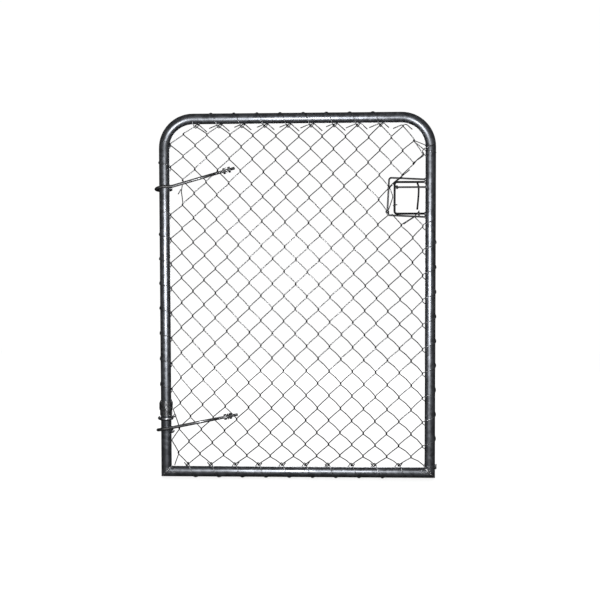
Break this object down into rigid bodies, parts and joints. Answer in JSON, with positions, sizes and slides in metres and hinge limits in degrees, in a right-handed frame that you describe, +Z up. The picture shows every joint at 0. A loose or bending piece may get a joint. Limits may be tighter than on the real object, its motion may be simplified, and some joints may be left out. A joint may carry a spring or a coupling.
{
  "type": "single-leaf chain-link gate",
  "caption": "Gate leaf of bent galvanised tube with woven diamond wire mesh laced in, a framed hand hole beside one stile and loose eye bolts round the other as hinges.",
  "frame": {"origin": "on the lower hinge bolt's axis, where its free thread leaves the outer nut", "axes": "+X across the leaf from the hinge stile to the hand hole, +Y away from the front, +Z up"},
  "size_m": [0.9184, 0.065, 1.1959],
  "materials": {
    "galvanised_tube": "aged galvanised",
    "weld_metal": "cold-galvanised bead",
    "mesh_wire": "galvanised wire",
    "lacing_wire": "dull galvanised wire",
    "bent_rod": "dark galvanised rod",
    "hinge_bolt": "dark galvanised rod",
    "zinc_fastener": "zinc plated"
  },
  "bodies": {
    "lower_hinge_bolt": {"lower_eye_bolt": "hinge_bolt", "lower_inner_nut": "zinc_fastener", "lower_washer": "zinc_fastener", "lower_outer_nut": "zinc_fastener"},
    "leaf": {"frame_hoop": "galvanised_tube", "bottom_rail": "galvanised_tube", "weld_bead_left": "weld_metal", "weld_bead_right": "weld_metal", "mesh_main": "mesh_wire", "mesh_above_hand_hole": "mesh_wire", "mesh_below_hand_hole": "mesh_wire", "lacing_left": "lacing_wire", "lacing_top": "lacing_wire", "lacing_right": "lacing_wire", "lacing_bottom": "lacing_wire", "lacing_tie_coil": "lacing_wire", "stop_ring": "bent_rod", "hand_hole_outer_hoop": "bent_rod", "hand_hole_inner_hoop": "bent_rod", "hand_hole_cross_rod": "bent_rod", "hand_hole_drop_rod": "bent_rod"},
    "upper_hinge_bolt": {"upper_eye_bolt": "hinge_bolt", "upper_inner_nut": "zinc_fastener", "upper_washer": "zinc_fastener", "upper_outer_nut": "zinc_fastener"}
  },
  "joints": [
    {"name": "leaf_swing", "type": "hinge", "parent": "lower_hinge_bolt", "child": "leaf", "pos_m": [-0.22006, 0.025, -0.04465], "axis": [0, 0, 1], "range_deg": [0, 270]},
    {"name": "upper_bolt_swivel", "type": "hinge", "parent": "leaf", "child": "upper_hinge_bolt", "pos_m": [-0.22006, 0.025, 0.74535], "axis": [0, 0, -1], "range_deg": [0, 270]}
  ]
}
